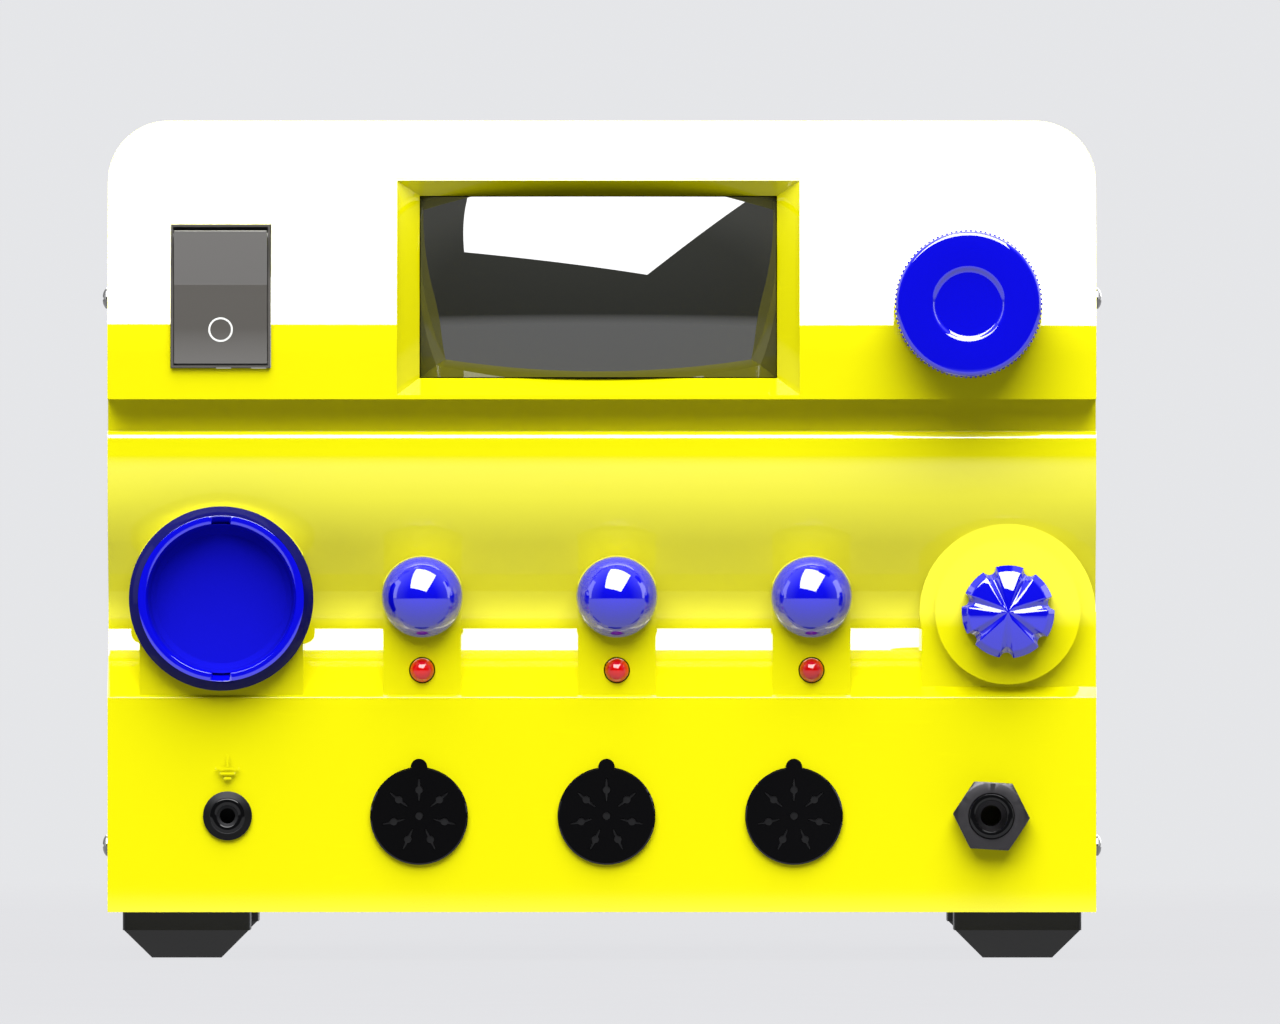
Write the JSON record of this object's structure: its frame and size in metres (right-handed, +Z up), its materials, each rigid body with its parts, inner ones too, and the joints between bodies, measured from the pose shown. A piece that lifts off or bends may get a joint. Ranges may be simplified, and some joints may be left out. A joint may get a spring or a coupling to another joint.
{
  "type": "soldering station",
  "caption": "Bench soldering and rework station: boxy housing with a sloped display panel, domed channel buttons over handpiece sockets, a filter cap, an air valve and an air outlet.",
  "frame": {"origin": "on the bench, under the middle of the whole station", "axes": "+X to the right of someone facing the panel, +Y from the front panel into the station, +Z up"},
  "size_m": [0.195, 0.242, 0.1631],
  "materials": {
    "yellow_moulding": "glossy moulded ABS",
    "yellow_sheet": "glossy powder coat",
    "grey_sheet": "zinc-plated and painted sheet steel",
    "blue_moulding": "glossy moulded ABS",
    "red_lens": "diffused epoxy",
    "smoked_window": "smoked acrylic",
    "grey_switch": "glossy nylon",
    "black_plastic": "fine-textured",
    "rubber": "matte",
    "circuit_board": "solder mask",
    "plated_steel": "bright nickel and zinc plate",
    "contact_metal": "tin-plated brass",
    "grey_metal": "grey anodised",
    "glass_tube": "clear borosilicate",
    "filter_felt": "white ceramic felt",
    "winding": "taped copper winding"
  },
  "bodies": {
    "root": {"air_outlet_fitting": "grey_metal", "air_valve_body": "grey_metal", "base_tray": "grey_sheet", "board_spacers": "contact_metal", "button_board": "circuit_board", "channel_lamps": "red_lens", "cover_screws": "plated_steel", "display_bezel": "yellow_moulding", "display_board": "circuit_board", "display_module": "black_plastic", "display_window": "smoked_window", "encoder_body": "black_plastic", "fan_frame": "black_plastic", "fan_guard": "plated_steel", "fan_screws": "plated_steel", "filter_case": "glass_tube", "filter_element": "filter_felt", "filter_seal": "rubber", "foot_screws": "plated_steel", "front_bulkhead": "grey_sheet", "fuse_holder": "black_plastic", "ground_jack": "black_plastic", "handpiece_socket_1": "black_plastic", "handpiece_socket_2": "black_plastic", "handpiece_socket_3": "black_plastic", "heat_sink": "grey_metal", "inlet_pins": "contact_metal", "inlet_screws": "plated_steel", "lower_front_panel": "yellow_moulding", "main_board": "circuit_board", "mains_inlet": "black_plastic", "panel_nuts": "plated_steel", "pump_cradle": "grey_metal", "pump_head": "black_plastic", "pump_motor": "plated_steel", "rear_panel": "grey_sheet", "rocker_housing": "grey_switch", "rubber_feet": "rubber", "smoothing_capacitors": "black_plastic", "socket_contacts": "contact_metal", "solenoid_valve": "grey_metal", "tact_switches": "black_plastic", "top_cover": "yellow_sheet", "toroid_bolt": "plated_steel", "toroid_clamp": "plated_steel", "toroid_transformer": "winding", "triacs": "black_plastic", "upper_front_panel": "yellow_moulding"},
    "rocker": {"rocker_button": "grey_switch"},
    "dial": {"adjust_dial": "blue_moulding", "encoder_spindle": "plated_steel"},
    "button_1": {"channel_button_1": "blue_moulding"},
    "button_2": {"channel_button_2": "blue_moulding"},
    "button_3": {"channel_button_3": "blue_moulding"},
    "filter_lid": {"filter_cap": "blue_moulding"},
    "valve_knob": {"air_valve_knob": "blue_moulding"},
    "release_ring": {"outlet_release_ring": "black_plastic"},
    "fan_blades": {"fan_rotor": "black_plastic"},
    "pump_crank": {"pump_eccentric": "plated_steel"}
  },
  "joints": [
    {"name": "rocker_tip", "type": "hinge", "parent": "root", "child": "rocker", "pos_m": [-0.074, -0.1061, 0.1289], "axis": [-1, 0, 0], "range_deg": [0, 14]},
    {"name": "dial_turn", "type": "hinge", "parent": "root", "child": "dial", "pos_m": [0.07105, -0.106, 0.1273], "axis": [0, -1, 0], "continuous": true},
    {"name": "button_1_press", "type": "slide", "parent": "root", "child": "button_1", "axis": [0, 1, 0], "range_m": [0, 0.0012], "stiffness_N_per_m": 900},
    {"name": "button_2_press", "type": "slide", "parent": "root", "child": "button_2", "axis": [0, 1, 0], "range_m": [0, 0.0012], "stiffness_N_per_m": 900},
    {"name": "button_3_press", "type": "slide", "parent": "root", "child": "button_3", "axis": [0, 1, 0], "range_m": [0, 0.0012], "stiffness_N_per_m": 900},
    {"name": "filter_cap_turn", "type": "hinge", "parent": "root", "child": "filter_lid", "pos_m": [-0.0739, -0.1035, 0.0702], "axis": [0, -1, 0], "range_deg": [0, 60]},
    {"name": "valve_knob_turn", "type": "hinge", "parent": "root", "child": "valve_knob", "pos_m": [0.0788, -0.1035, 0.0676], "axis": [0, -1, 0], "range_deg": [-150, 150]},
    {"name": "release_ring_push", "type": "slide", "parent": "root", "child": "release_ring", "axis": [0, 1, 0], "range_m": [0, 0.0006], "stiffness_N_per_m": 1500},
    {"name": "fan_spin", "type": "hinge", "parent": "root", "child": "fan_blades", "pos_m": [0.044, 0.115, 0.112], "axis": [0, 1, 0], "continuous": true},
    {"name": "pump_spin", "type": "hinge", "parent": "root", "child": "pump_crank", "pos_m": [0.056, 0.0465, 0.044], "axis": [0, 1, 0], "continuous": true}
  ]
}
